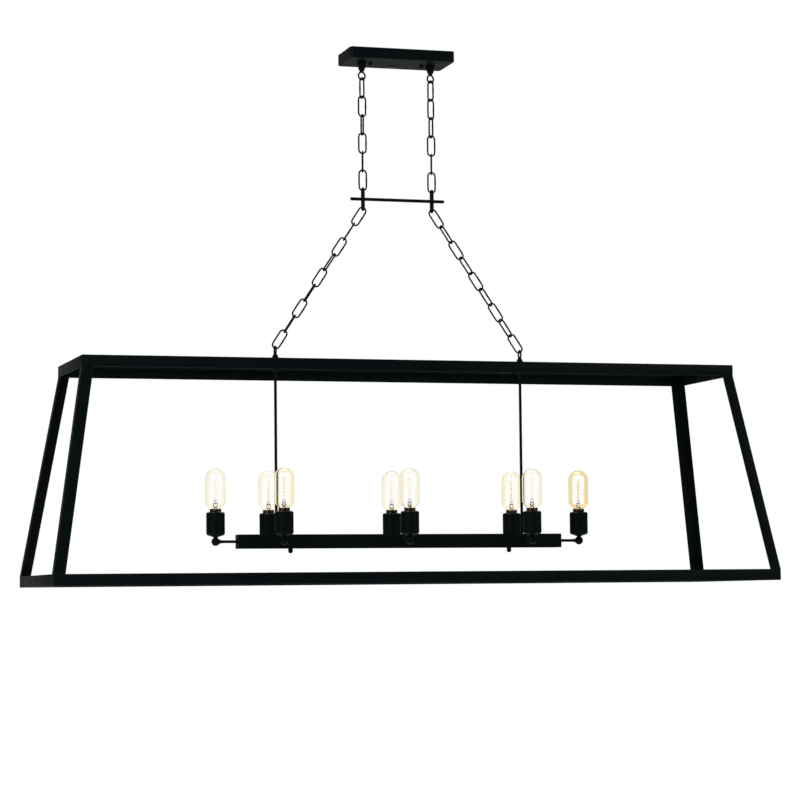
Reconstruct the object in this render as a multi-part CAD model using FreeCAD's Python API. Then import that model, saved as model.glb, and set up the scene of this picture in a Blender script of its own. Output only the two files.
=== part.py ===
import FreeCAD
import Part
import math
import os

# Linear island pendant, in millimetres. The origin is the centre of the ceiling face, +Z is up,
# X runs along the light bar and -Y is the front. Everything hangs below z = 0.

Vec = FreeCAD.Vector
X_AXIS = Vec(1, 0, 0)
Y_AXIS = Vec(0, 1, 0)
Z_AXIS = Vec(0, 0, 1)
ORIGIN = Vec(0, 0, 0)

# Clearances
play = 0.3              # between pieces that move, or that are only seated
thread_fit = 0.1        # radial, round a shank, stem or arm in its hole

# Canopy and mounting strap
canopy_length = 250.0
canopy_width = 115.0
canopy_depth = 25.0
canopy_sheet = 1.2
canopy_corner = 8.0
strap_width = 24.0
strap_thickness = 2.5
strap_overhang = 14.0   # strap beyond each loop shank
slot_spacing = 79.4     # takes ceiling boxes with screws 70 to 89 mm apart
slot_length = 15.0
slot_width = 5.2
canopy_stud_spacing = 124.0
canopy_stud_diameter = 4.0
cap_nut_flats = 8.0
cap_nut_height = 7.0
cap_nut_dome = 0.7      # height of a cap nut's dome, to its radius
cap_nut_crown = 3.0     # solid crown of a cap nut past its stud
bushing_offset = 32.0   # cable bushing behind the strap
bushing_bore = 10.0
bushing_wall = 1.8
bushing_flange = 20.0
bushing_flange_height = 2.5
bushing_length = 8.0

# Chain, hanging loops and spreader
chain_wire = 4.0
link_width = 21.5
link_pitch = 43.0
upper_spacing = 166.0   # between the two upper chains
loop_height = 42.0      # bell and ring together
bell_height = 24.0
bell_radius = 11.0
bell_rim = 5.0
bell_neck_radius = 3.5
bell_bulge = 1.2        # how far the bell's side swells out, past a straight cone
shank_diameter = 9.5
shank_nut_flats = 14.0
shank_nut_height = 5.0
yoke_wire = 5.5
yoke_opening = 44.5
rod_diameter = 7.5
rod_length = 225.0
rod_fit = 0.15

# How far each link is turned about its chain, from the top down, in degrees
upper_left_turns = [105, 5, 90, 0, 76, 0]
upper_right_turns = [-65, 25, -80, 2, 74, 0]
lower_left_turns = [0, 80, 0, 98, 0, 90, 0, 74, 0]
lower_right_turns = [0, -84, 0, -74, 0, -74, 0, -74, 0]
canopy_loop_turns = [15, 20]

# Open frame of steel angle, its corner outwards, and flat bars that carry the light bar
angle_leg = 25.4
angle_wall = 3.0
frame_height = 500.0
bottom_length = 1676.0
bottom_depth = 470.0
top_length = 1526.0
top_depth = 312.0
crossbar_width = 31.75
coupling_flats = 14.0
coupling_height = 14.0      # under each crossbar, from the loop's shank to the stem
shank_in_coupling = 6.0

# Stems and light bar
stem_spacing = 587.0
stem_diameter = 6.5
stem_wall = 1.0
stem_nut_flats = 11.0
stem_nut_height = 3.5
bar_length = 770.0
bar_size = 31.75
bar_wall = 1.5
bar_centre_height = 97.6    # above the underside of the frame
cover_stud_spacing = 522.0
cover_stud_diameter = 5.0
cover_nut_diameter = 10.6
cover_nut_height = 11.0

# Lamp arms and balls
arm_diameter = 6.5
arm_wall = 1.0
arm_nut_flats = 10.0
arm_nut_height = 2.5
arm_inside = 8.0            # arm inside the bar, past its wall
lamp_side_offset = 72.0     # lamp axis in front of or behind the bar's axis
lamp_end_spacing = 868.0    # between the two end lamps
ball_diameter = 19.0
ball_boss_radius = 4.9
ball_boss_length = 6.5
ball_boss_lip = 0.5
ball_wire_bore = 5.6
arm_stop = 1.5              # end of the arm, short of the centre of its ball

# Socket cup, heights above the centre of its ball
cup_diameter = 42.0
cup_wall = 1.2
cup_top = 64.6
cup_bottom = 10.4
cup_slope = 3.4             # the underside rises by this much from the neck to its rounded edge
cup_bottom_round = 5.5
neck_diameter = 10.0
neck_bore = 6.0

# Lampholder and bulb
holder_height = 41.0
holder_proud = 1.4          # face of the holder above the rim of the cup
holder_edge = 1.0
holder_chamfer = 3.0
shell_inner_radius = 13.5
shell_wall = 0.5
shell_below_face = 1.0
contact_recess = 1.0
contact_radius = 4.0
contact_height = 1.5
cap_radius = 13.1
cap_length = 30.0
cap_tip_radius = 4.5
cap_tip_height = 2.5
cap_chamfer = 2.5
cap_above_holder = 7.4      # part of the cap that shows above the holder
bulb_diameter = 45.0
bulb_neck_radius = 12.4
bulb_glass_height = 90.0
bulb_shoulder = 15.0
shoulder_bulge = 2.0        # how far the shoulder swells out, past a straight cone
bulb_dome = 21.5
glass_wall = 0.9
mount_foot_radius = 5.5
mount_top_radius = 2.6
mount_height = 13.0
mount_foot_height = 2.0
filament_rod_radius = 0.7
filament_height = 67.0      # top of the filament rod above the cap
filament_arm_radius = 0.5
filament_arm_length = 5.0
filament_low = 22.0         # filament arms above the cap
filament_high = 65.5

# Derived places
ring_opening = link_width - 2 * chain_wire
link_opening = link_pitch + play
yoke_width = rod_diameter + 2 * rod_fit
canopy_floor = -canopy_depth
upper_x = upper_spacing / 2
stem_x = stem_spacing / 2
upper_start = canopy_floor - loop_height + chain_wire
yoke_top = upper_start - len(upper_left_turns) * link_pitch
yoke_middle = yoke_top - yoke_opening / 2
yoke_bottom_wire = yoke_top - yoke_opening - yoke_wire / 2
lower_reach = len(lower_left_turns) * link_pitch - (yoke_wire + chain_wire) / 2 - play
lower_run = stem_x - upper_x
lower_drop = math.sqrt(lower_reach ** 2 - lower_run ** 2)
lower_angle = math.degrees(math.atan2(lower_run, lower_drop))
loop_top_wire = yoke_bottom_wire - lower_drop
frame_top = loop_top_wire + chain_wire / 2 - loop_height
frame_bottom = frame_top - frame_height
bar_z = frame_bottom + bar_centre_height
bar_half = bar_size / 2
lamp_end_x = lamp_end_spacing / 2

# Name, ball centre and outward direction of the arm of each lamp
lamps = [
    ("end_left", Vec(-lamp_end_x, 0, bar_z), Vec(-1, 0, 0)),
    ("end_right", Vec(lamp_end_x, 0, bar_z), Vec(1, 0, 0)),
]
for side_name, lamp_x in (("left", -stem_x), ("centre", 0), ("right", stem_x)):
    lamps.append((side_name + "_front", Vec(lamp_x, -lamp_side_offset, bar_z), Vec(0, -1, 0)))
    lamps.append((side_name + "_rear", Vec(lamp_x, lamp_side_offset, bar_z), Vec(0, 1, 0)))

nodes = {}


def block(low, high):
    """A box between two corners."""
    size = high - low
    return Part.makeBox(size.x, size.y, size.z, low)


def rod(start, end, radius):
    """A round bar between two points."""
    along = end - start
    return Part.makeCylinder(radius, along.Length, start, along)


def pipe(start, end, outer_radius, inner_radius):
    """A round tube between two points."""
    return rod(start, end, outer_radius).cut(rod(start, end, inner_radius))


def hexagon(centre, direction, flats, height):
    """A hexagonal bar that starts at centre and runs along direction."""
    corner = flats / math.sqrt(3)
    corners = []
    for k in range(7):
        corners.append(Vec(corner * math.cos(k * math.pi / 3), corner * math.sin(k * math.pi / 3), 0))
    bar = Part.Face(Part.makePolygon(corners)).extrude(Vec(0, 0, height))
    bar.Placement = FreeCAD.Placement(centre, FreeCAD.Rotation(Z_AXIS, direction))
    return bar


def nut(centre, direction, flats, height, hole_radius):
    """A plain hexagon nut."""
    hole = rod(centre, centre + direction * height, hole_radius)
    return hexagon(centre, direction, flats, height).cut(hole)


def turned(steps):
    """A solid turned about Z. A step is (r, z), or an arc's middle and end as (r, z, r, z)."""
    edges = []
    here = Vec(steps[0][0], 0, steps[0][1])
    for step in steps[1:] + steps[:1]:
        there = Vec(step[-2], 0, step[-1])
        if len(step) == 4:
            edges.append(Part.Arc(here, Vec(step[0], 0, step[1]), there).toShape())
        elif (there - here).Length > 1e-6:
            edges.append(Part.LineSegment(here, there).toShape())
        here = there
    return Part.Face(Part.Wire(edges)).revolve(ORIGIN, Z_AXIS, 360)


def dome_step(base_radius, base_z, tip_z):
    """The turned step of a round dome, from its rim at base_z to its tip on the axis."""
    rise = tip_z - base_z
    sphere = (base_radius ** 2 + rise ** 2) / (2 * rise)    # negative where the dome points down
    half_angle = math.atan2(base_radius, abs(sphere) - abs(rise)) / 2
    middle_z = tip_z - sphere * (1 - math.cos(half_angle))
    return (abs(sphere) * math.sin(half_angle), middle_z, 0, tip_z)


def placed(shape, centre, turn_z=0.0, lean_y=0.0):
    """A copy of shape, turned about Z, then leaned about Y, then moved to centre."""
    copy = shape.copy()
    lean = FreeCAD.Rotation(Y_AXIS, lean_y)
    place = FreeCAD.Placement(centre, lean.multiply(FreeCAD.Rotation(Z_AXIS, turn_z)))
    copy.Placement = place.multiply(shape.Placement)
    return copy


def ring(opening_length, opening_width, wire):
    """An oblong wire ring in the XZ plane, its long way along Z, centred on the origin."""
    radius = wire / 2
    bend = (opening_width + wire) / 2
    straight = opening_length - opening_width
    if straight < 1e-6:
        return Part.makeTorus(bend, radius, ORIGIN, Y_AXIS)
    shape = None
    for side in (1, -1):
        start = Vec(bend * side, 0, straight / 2 * side)
        circle = Part.Face(Part.Wire(Part.Circle(start, Z_AXIS, radius).toShape()))
        half_turn = circle.revolve(Vec(0, 0, straight / 2 * side), Y_AXIS, -180)
        leg = circle.extrude(Vec(0, 0, -straight * side))
        piece = half_turn.fuse(leg)
        shape = piece if shape is None else shape.fuse(piece)
    return shape.removeSplitter()


def group(name, solids):
    """Store the solids of one node."""
    flat = []
    for item in solids:
        flat.extend(item.Solids)
    nodes[name] = Part.makeCompound(flat) if len(flat) > 1 else flat[0]


# ---- canopy ----

def rounded_slab(length, width, low, high, corner):
    slab = block(Vec(-length / 2, -width / 2, low), Vec(length / 2, width / 2, high))
    upright = [edge for edge in slab.Edges if abs(edge.tangentAt(edge.FirstParameter).z) > 0.9]
    return slab.makeFillet(corner, upright)


def canopy():
    shell = rounded_slab(canopy_length, canopy_width, canopy_floor, 0, canopy_corner)
    rim = [edge for edge in shell.Edges if edge.BoundBox.ZMax < canopy_floor + 1e-6]
    shell = shell.makeFillet(2 * canopy_sheet, rim)
    inner_length = canopy_length - 2 * canopy_sheet
    inner_width = canopy_width - 2 * canopy_sheet
    inner_floor = canopy_floor + canopy_sheet
    shell = shell.cut(rounded_slab(inner_length, inner_width, inner_floor, 1, canopy_corner - canopy_sheet))
    below = canopy_floor - 1
    for x in (-upper_x, upper_x):
        shell = shell.cut(rod(Vec(x, 0, below), Vec(x, 0, 0), shank_diameter / 2 + thread_fit))
    for x in (-canopy_stud_spacing / 2, canopy_stud_spacing / 2):
        shell = shell.cut(rod(Vec(x, 0, below), Vec(x, 0, 0), canopy_stud_diameter / 2 + thread_fit))
    bushing_hole = bushing_bore / 2 + bushing_wall + thread_fit
    shell = shell.cut(rod(Vec(0, bushing_offset, below), Vec(0, bushing_offset, 0), bushing_hole))
    group("canopy_cover", [shell])


def mounting_strap():
    half = upper_x + strap_overhang
    strap = block(Vec(-half, -strap_width / 2, -strap_thickness), Vec(half, strap_width / 2, 0))
    slot_run = (slot_length - slot_width) / 2
    for side in (-1, 1):
        middle = side * slot_spacing / 2
        for end in (-slot_run, slot_run):
            foot = Vec(middle + end, 0, -strap_thickness)
            strap = strap.cut(rod(foot, foot + Z_AXIS * strap_thickness, slot_width / 2))
        strap = strap.cut(block(Vec(middle - slot_run, -slot_width / 2, -strap_thickness),
                                Vec(middle + slot_run, slot_width / 2, 0)))
        for x, radius in ((upper_x, shank_diameter / 2), (canopy_stud_spacing / 2, canopy_stud_diameter / 2)):
            foot = Vec(side * x, 0, -strap_thickness)
            strap = strap.cut(rod(foot, foot + Z_AXIS * strap_thickness, radius + thread_fit))
    group("mounting_strap", [strap])


def cap_nut(flats, height, stud_radius, stud_end):
    """A domed nut that hangs below z = 0, with a blind hole for the stud."""
    radius = flats / 2
    skirt = height - cap_nut_dome * radius
    shape = turned([(0, 0), (radius, 0), (radius, -skirt), dome_step(radius, -skirt, -height)])
    return shape.cut(rod(Vec(0, 0, -stud_end - play), ORIGIN, stud_radius + thread_fit))


def canopy_screws():
    stud_end = cap_nut_height - cap_nut_crown
    solids = []
    for x in (-canopy_stud_spacing / 2, canopy_stud_spacing / 2):
        low = Vec(x, 0, canopy_floor - stud_end)
        solids.append(rod(low, Vec(x, 0, -play), canopy_stud_diameter / 2))
        domed = cap_nut(cap_nut_flats, cap_nut_height, canopy_stud_diameter / 2, stud_end)
        solids.append(placed(domed, Vec(x, 0, canopy_floor)))
    group("canopy_screws", solids)


def cable_bushing():
    radius = bushing_bore / 2
    outer = radius + bushing_wall
    collar = (bushing_flange / 2 + outer) / 2
    collar_top = bushing_length - bushing_flange_height
    edge = bushing_flange_height / 2
    solid = turned([(radius, -bushing_flange_height), (bushing_flange / 2 - edge, -bushing_flange_height),
                    (bushing_flange / 2, -edge), (bushing_flange / 2, 0), (outer, 0),
                    (outer, canopy_sheet), (collar, canopy_sheet), (outer, collar_top), (radius, collar_top)])
    group("cable_bushing", [placed(solid, Vec(0, bushing_offset, canopy_floor))])


# ---- hanging loops, chains and spreader ----

def hanging_loop(shank_length):
    """A ring on a bell that stands on z = 0, with a threaded shank below."""
    neck_z = bell_height
    belly = ((bell_radius + bell_neck_radius) / 2 + bell_bulge, (bell_rim + neck_z) / 2 + bell_bulge)
    shank_radius = shank_diameter / 2
    bell = turned([(0, -shank_length), (shank_radius, -shank_length), (shank_radius, 0), (bell_radius, 0),
                   (bell_radius, bell_rim), belly + (bell_neck_radius, neck_z), (0, neck_z)])
    eye = placed(ring(ring_opening, ring_opening, chain_wire), Vec(0, 0, loop_height - link_width / 2))
    opening = Part.makeCylinder(ring_opening / 2, 2 * link_width,
                                Vec(0, -link_width, loop_height - link_width / 2), Y_AXIS)
    return bell.cut(opening).fuse(eye).removeSplitter()


def loops_and_nuts():
    canopy_loop = hanging_loop(canopy_depth - play)
    canopy_loop.rotate(ORIGIN, X_AXIS, 180)
    canopy_loops = []
    canopy_nuts = []
    for x, turn in zip((-upper_x, upper_x), canopy_loop_turns):
        canopy_loops.append(placed(canopy_loop, Vec(x, 0, canopy_floor), turn))
        under_strap = Vec(x, 0, -strap_thickness)
        canopy_nuts.append(nut(under_strap, -Z_AXIS, shank_nut_flats, shank_nut_height,
                               shank_diameter / 2 + thread_fit))
    group("canopy_loops", canopy_loops)
    group("loop_nuts", canopy_nuts)

    frame_loop = hanging_loop(angle_wall + shank_in_coupling)
    group("frame_loops", [placed(frame_loop, Vec(x, 0, frame_top), 90) for x in (-stem_x, stem_x)])


def chains():
    link = ring(link_opening, ring_opening, chain_wire)
    for side, name, turns in ((-1, "left", upper_left_turns), (1, "right", upper_right_turns)):
        links = []
        for k, turn in enumerate(turns):
            middle = upper_start + play - link_opening / 2 - k * link_pitch
            links.append(placed(link, Vec(side * upper_x, 0, middle), turn))
        group("upper_chain_" + name, links)
    lean = math.radians(lower_angle)
    for side, name, turns in ((-1, "left", lower_left_turns), (1, "right", lower_right_turns)):
        down = Vec(side * math.sin(lean), 0, -math.cos(lean))
        pin = Vec(side * upper_x, 0, yoke_bottom_wire)
        first = link_opening / 2 - yoke_wire / 2 - play
        links = []
        for k, turn in enumerate(turns):
            links.append(placed(link, pin + down * (first + k * link_pitch), turn, -side * lower_angle))
        group("lower_chain_" + name, links)


def spreader():
    half = rod_length / 2
    end_round = rod_diameter / 6
    bar = rod(Vec(-half, 0, yoke_middle), Vec(half, 0, yoke_middle), rod_diameter / 2)
    ends = [edge for edge in bar.Edges if abs(abs(edge.BoundBox.Center.x) - half) < 1e-6]
    group("spreader_rod", [bar.makeFillet(end_round, ends)])
    yoke = ring(yoke_opening, yoke_width, yoke_wire)
    group("spreader_yokes", [placed(yoke, Vec(x, 0, yoke_middle), 90) for x in (-upper_x, upper_x)])


# ---- frame ----

def mitred_angle(length, level_leg_on_top):
    """A steel angle along X with its upright leg on y = 0, mitred at both ends, standing on z = 0."""
    reach = length / 2
    corners = [Vec(-reach, 0, 0), Vec(reach, 0, 0),
               Vec(reach - angle_leg, angle_leg, 0), Vec(angle_leg - reach, angle_leg, 0)]
    solid = Part.Face(Part.makePolygon(corners + corners[:1])).extrude(Vec(0, 0, angle_leg))
    low = 0 if level_leg_on_top else angle_wall
    return solid.cut(block(Vec(-reach, angle_wall, low), Vec(reach, angle_leg, low + angle_leg - angle_wall)))


def rails(name, length, depth, level, level_leg_on_top):
    long_rail = mitred_angle(length, level_leg_on_top)
    end_rail = mitred_angle(depth, level_leg_on_top)
    group(name + "_long_rails", [placed(long_rail, Vec(0, -depth / 2, level)),
                                 placed(long_rail, Vec(0, depth / 2, level), 180)])
    group(name + "_end_rails", [placed(end_rail, Vec(length / 2, 0, level), 90),
                                placed(end_rail, Vec(-length / 2, 0, level), -90)])


def corner_posts():
    """Sloping angles, cut level, that stand edge to edge on the upright legs of the rails."""
    def section(side_x, side_y, length, depth, level):
        insets = [(0, 0), (angle_leg, 0), (angle_leg, angle_wall),
                  (angle_wall, angle_wall), (angle_wall, angle_leg), (0, angle_leg)]
        corners = []
        for in_x, in_y in insets:
            corners.append(Vec(side_x * (length / 2 - in_x), side_y * (depth / 2 - in_y), level))
        return Part.makePolygon(corners + corners[:1])

    posts = []
    for side_x in (-1, 1):
        for side_y in (-1, 1):
            foot = section(side_x, side_y, bottom_length, bottom_depth, frame_bottom + angle_leg)
            head = section(side_x, side_y, top_length, top_depth, frame_top - angle_leg)
            posts.append(Part.makeLoft([foot, head], True, True))
    group("corner_posts", posts)


def crossbars():
    """Flat bars between the level legs of the top long rails, over the stems and under the loops."""
    half_depth = top_depth / 2 - angle_leg
    half_width = crossbar_width / 2
    low = frame_top - angle_wall
    bars = []
    for x in (-stem_x, stem_x):
        bar = block(Vec(x - half_width, -half_depth, low), Vec(x + half_width, half_depth, frame_top))
        bars.append(bar.cut(rod(Vec(x, 0, low), Vec(x, 0, frame_top), shank_diameter / 2 + thread_fit)))
    group("crossbars", bars)


# ---- stems and light bar ----

def stems():
    """The stems, the couplings that join them to the loops' shanks, and their lock nuts in the bar."""
    low = bar_z + bar_half - bar_wall - stem_nut_height
    shank_end = frame_top - angle_wall - shank_in_coupling
    stem_hole = stem_diameter / 2 + thread_fit
    shank_hole = shank_diameter / 2 + thread_fit
    tubes = []
    nuts = []
    for x in (-stem_x, stem_x):
        foot = Vec(x, 0, low)
        head = Vec(x, 0, shank_end - play)
        under_bar = Vec(x, 0, frame_top - angle_wall)
        tubes.append(pipe(foot, head, stem_diameter / 2, stem_diameter / 2 - stem_wall))
        nuts.append(nut(foot, Z_AXIS, stem_nut_flats, stem_nut_height, stem_hole))
        coupling = nut(under_bar, -Z_AXIS, coupling_flats, coupling_height, stem_hole)
        nuts.append(coupling.cut(rod(under_bar, Vec(x, 0, shank_end), shank_hole)))
    group("stems", tubes)
    group("frame_nuts", nuts)


def light_bar():
    half = bar_length / 2 - bar_wall
    low = bar_z - bar_half
    high = bar_z + bar_half
    outer = block(Vec(-half, -bar_half, low), Vec(half, bar_half, high))
    room = bar_half - bar_wall
    channel = outer.cut(block(Vec(-half, -room, low), Vec(half, room, high - bar_wall)))
    for x in (-stem_x, stem_x):
        channel = channel.cut(rod(Vec(x, 0, high - 2 * bar_wall), Vec(x, 0, high),
                                  stem_diameter / 2 + thread_fit))
    for x in (-stem_x, 0, stem_x):
        channel = channel.cut(rod(Vec(x, -bar_half, bar_z), Vec(x, bar_half, bar_z),
                                  arm_diameter / 2 + thread_fit))
    cover_studs = []
    cover_nuts = []
    stud_radius = cover_stud_diameter / 2
    stud_end = cover_nut_height - cap_nut_crown
    cover = block(Vec(-half, -room + thread_fit, low), Vec(half, room - thread_fit, low + bar_wall))
    domed = cap_nut(cover_nut_diameter, cover_nut_height, stud_radius, stud_end)
    for x in (-cover_stud_spacing / 2, cover_stud_spacing / 2):
        cover = cover.cut(rod(Vec(x, 0, low), Vec(x, 0, low + bar_wall), stud_radius + thread_fit))
        cover_studs.append(rod(Vec(x, 0, low - stud_end), Vec(x, 0, high - bar_wall), stud_radius))
        cover_nuts.append(placed(domed, Vec(x, 0, low)))
    for stud in cover_studs:
        channel = channel.fuse(stud)
    group("light_bar", [channel])
    group("bar_cover", [cover])
    group("cover_nuts", cover_nuts)

    caps = []
    for side in (-1, 1):
        face = side * bar_length / 2
        back = side * half
        cap = block(Vec(min(face, back), -bar_half, low), Vec(max(face, back), bar_half, high))
        caps.append(cap.cut(rod(Vec(back, 0, bar_z), Vec(face, 0, bar_z), arm_diameter / 2 + thread_fit)))
    group("bar_end_caps", caps)


def arms_and_balls():
    arms = []
    balls = []
    nuts = []
    radius = ball_diameter / 2
    hole = arm_diameter / 2 + thread_fit
    boss_foot = math.sqrt(radius ** 2 - ball_boss_radius ** 2)
    boss_end = boss_foot + ball_boss_length
    half_angle = (math.pi + math.atan2(ball_boss_radius, boss_foot)) / 2
    bored_ball = turned([
        (0, -radius),
        (radius * math.sin(half_angle), radius * math.cos(half_angle), ball_boss_radius, boss_foot),
        (hole + ball_boss_lip, boss_end), (hole, boss_end), (hole, arm_stop), (0, arm_stop)])
    wire_bore = rod(Vec(0, 0, -ball_wire_bore / 2), Vec(0, 0, ball_diameter), ball_wire_bore / 2)
    for name, centre, out in lamps:
        axis_point = Vec(0, 0, bar_z) if out.x else Vec(centre.x, 0, bar_z)
        wall = axis_point + out * (bar_length / 2 if out.x else bar_half)
        inner = wall - out * bar_wall
        arms.append(pipe(inner - out * arm_inside, centre - out * arm_stop,
                         arm_diameter / 2, arm_diameter / 2 - arm_wall))
        nuts.append(nut(wall, out, arm_nut_flats, arm_nut_height, hole))
        nuts.append(nut(inner, -out, arm_nut_flats, arm_nut_height, hole))
        ball = bored_ball.copy()
        ball.Placement = FreeCAD.Placement(centre, FreeCAD.Rotation(Z_AXIS, -out))
        balls.append(ball.cut(placed(wire_bore, centre)))
    group("lamp_arms", arms)
    group("lamp_balls", balls)
    group("arm_nuts", nuts)


# ---- lamps ----

holder_face = cup_top + holder_proud
cap_top = holder_face + cap_above_holder
cap_bottom = cap_top - cap_length
bulb_top = cap_top + bulb_glass_height


def socket_cup():
    """The cup and its neck, about the centre of the ball, which the neck's foot rides on."""
    radius = cup_diameter / 2
    inner = radius - cup_wall
    neck = neck_diameter / 2
    bore = neck_bore / 2
    edge_z = cup_bottom + cup_slope
    corner = cup_bottom_round * (1 - math.sqrt(0.5))
    shape = turned([
        (bore, 0), (neck, 0), (neck, cup_bottom), (radius - cup_bottom_round, edge_z),
        (radius - corner, edge_z + corner, radius, edge_z + cup_bottom_round),
        (radius, cup_top - cup_wall / 2), (radius - cup_wall / 2, cup_top), (inner, cup_top - cup_wall / 2),
        (inner, edge_z + cup_bottom_round), (radius - corner - cup_wall, edge_z + corner + cup_wall / 2,
                                            radius - cup_bottom_round, edge_z + cup_wall),
        (bore, cup_bottom + cup_wall)])
    return shape.cut(Part.makeSphere(ball_diameter / 2 + play, ORIGIN))


def lampholder():
    """The insulator, its screw shell and its centre contact."""
    radius = cup_diameter / 2 - cup_wall - play
    shell_outer = shell_inner_radius + shell_wall
    pocket = shell_outer + thread_fit
    low = cup_top - holder_height
    shell_top = holder_face - shell_below_face
    contact_top = cap_bottom - cap_tip_height - play
    contact_low = contact_top - contact_height
    shell_low = contact_low + contact_recess
    wire_hole = neck_bore / 2
    corner = holder_edge * (1 - math.sqrt(0.5))
    seat = contact_radius + thread_fit
    insulator = turned([
        (wire_hole, low), (radius - holder_chamfer, low), (radius, low + holder_chamfer),
        (radius, holder_face - holder_edge),
        (radius - corner, holder_face - corner, radius - holder_edge, holder_face),
        (pocket, holder_face), (pocket, shell_low), (seat, shell_low), (seat, contact_low),
        (wire_hole, contact_low)])
    shell = turned([(shell_inner_radius, shell_low), (shell_outer, shell_low),
                    (shell_outer, shell_top), (shell_inner_radius, shell_top)])
    contact = rod(Vec(0, 0, contact_low), Vec(0, 0, contact_top), contact_radius)
    return [insulator, shell, contact]


def bulb_glass():
    radius = bulb_diameter / 2

    def envelope(inset):
        outer = radius - inset
        neck = bulb_neck_radius - inset
        start = cap_top
        shoulder_z = start + bulb_shoulder
        dome_z = bulb_top - bulb_dome
        middle = ((neck + outer) / 2 + shoulder_bulge, (start + shoulder_z) / 2 - shoulder_bulge)
        return turned([(0, start), (neck, start), middle + (outer, shoulder_z), (outer, dome_z),
                       dome_step(outer, dome_z, bulb_top - inset)])
    return envelope(0).cut(envelope(glass_wall))


def bulb_base():
    """The screw cap, the glass mount on it, and the filament on its support rod."""
    tip_low = cap_bottom - cap_tip_height
    cap = turned([(0, tip_low), (cap_tip_radius, tip_low), (cap_radius - cap_chamfer, cap_bottom),
                  (cap_radius, cap_bottom + cap_chamfer), (cap_radius, cap_top), (0, cap_top)])
    mount_high = cap_top + mount_height
    mount = turned([(0, cap_top), (mount_foot_radius, cap_top),
                    (mount_foot_radius, cap_top + mount_foot_height),
                    (mount_top_radius, mount_high), (0, mount_high)])
    support = rod(Vec(0, 0, mount_high), Vec(0, 0, cap_top + filament_height), filament_rod_radius)
    half = filament_arm_length / 2
    for level in (filament_low, filament_high):
        height = cap_top + level
        support = support.fuse(rod(Vec(-half, 0, height), Vec(half, 0, height), filament_arm_radius))
    return [cap, mount, support]


def lamp_set():
    pieces = {"socket_cup": [socket_cup()], "lampholder": lampholder(),
              "bulb_glass": [bulb_glass()], "bulb_base": bulb_base()}
    for name, centre, out in lamps:
        for kind, solids in pieces.items():
            group(kind + "_" + name, [placed(solid, centre) for solid in solids])


canopy()
mounting_strap()
canopy_screws()
cable_bushing()
loops_and_nuts()
chains()
spreader()
rails("top", top_length, top_depth, frame_top - angle_leg, True)
rails("bottom", bottom_length, bottom_depth, frame_bottom, False)
corner_posts()
crossbars()
stems()
light_bar()
arms_and_balls()
lamp_set()

os.makedirs("parts", exist_ok=True)
for node_name, node_shape in nodes.items():
    node_shape.exportStep(os.path.join("parts", node_name + ".step"))
    print(node_name, len(node_shape.Solids), round(node_shape.Volume), node_shape.isValid())
print(len(nodes), "nodes")
print("frame underside at", round(frame_bottom, 2), "and lower chain lean", round(lower_angle, 2))
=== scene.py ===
import bpy
import bmesh
import math
from mathutils import Matrix, Vector


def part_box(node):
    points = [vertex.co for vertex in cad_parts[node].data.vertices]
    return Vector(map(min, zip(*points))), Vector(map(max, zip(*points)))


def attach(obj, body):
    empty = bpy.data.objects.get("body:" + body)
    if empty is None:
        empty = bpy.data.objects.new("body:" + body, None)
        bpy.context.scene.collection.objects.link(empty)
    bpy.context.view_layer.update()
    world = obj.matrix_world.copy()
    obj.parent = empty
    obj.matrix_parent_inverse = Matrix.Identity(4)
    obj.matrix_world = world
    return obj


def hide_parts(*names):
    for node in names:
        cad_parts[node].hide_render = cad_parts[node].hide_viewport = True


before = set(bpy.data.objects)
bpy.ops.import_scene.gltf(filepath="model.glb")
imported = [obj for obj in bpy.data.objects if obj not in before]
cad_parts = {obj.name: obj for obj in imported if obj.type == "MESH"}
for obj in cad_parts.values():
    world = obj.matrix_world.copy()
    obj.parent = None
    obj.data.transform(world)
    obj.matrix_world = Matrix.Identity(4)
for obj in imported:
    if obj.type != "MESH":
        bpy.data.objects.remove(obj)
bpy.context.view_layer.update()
print("frame loaded:", len(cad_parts), "solids")

mm = 0.001             # lengths in the settings are in millimetres times this
alongLimit = 0.99      # least cosine between an axis and an edge that runs along it
acrossLimit = 0.01     # greatest cosine where the edge runs across it
facingLimit = 0.9      # least cosine between an axis and the normal of a face that looks along it
mitreLimit = 0.6       # the same for a mitred end
nearby = 0.1 * mm      # what is closer than this is in the same place
xAxis, yAxis, zAxis = Vector((1, 0, 0)), Vector((0, 1, 0)), Vector((0, 0, 1))


def lengths(**values):  # settings given in millimetres
    return {name: value * mm for name, value in values.items()}


# picking and editing, as by hand in edit mode

def choose(*objects):
    bpy.ops.object.select_all(action="DESELECT")
    for obj in objects:
        obj.select_set(True)
    bpy.context.view_layer.objects.active = objects[0]


def startEdit(obj):
    choose(obj)
    bpy.ops.object.mode_set(mode="EDIT")


def endEdit():
    bpy.ops.object.mode_set(mode="OBJECT")


# test gets a vertex's place, an edge's middle and way, or a face's centre and normal
def editPicked(obj, kind, test, operation, **values):
    startEdit(obj)
    bpy.ops.mesh.select_mode(type=kind)
    bpy.ops.mesh.select_all(action="DESELECT")
    mesh = bmesh.from_edit_mesh(obj.data)
    if kind == "VERT":
        for vert in mesh.verts:
            vert.select_set(test(vert.co))
        mesh.select_flush(True)
    elif kind == "EDGE":
        for edge in mesh.edges:
            first, last = (vert.co for vert in edge.verts)
            edge.select_set(test((first + last) / 2, (last - first).normalized()))
    else:
        for face in mesh.faces:
            face.select_set(test(face.calc_center_median(), face.normal))
    bmesh.update_edit_mesh(obj.data)
    operation(**values)
    endEdit()


def moveVerts(obj, test, shift):
    editPicked(obj, "VERT", test, bpy.ops.transform.translate, value=shift)


def bevelPicked(obj, kind, test, width, steps):
    editPicked(obj, kind, test, bpy.ops.mesh.bevel, offset=width, segments=steps, profile=0.5, affect="EDGES")


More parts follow.
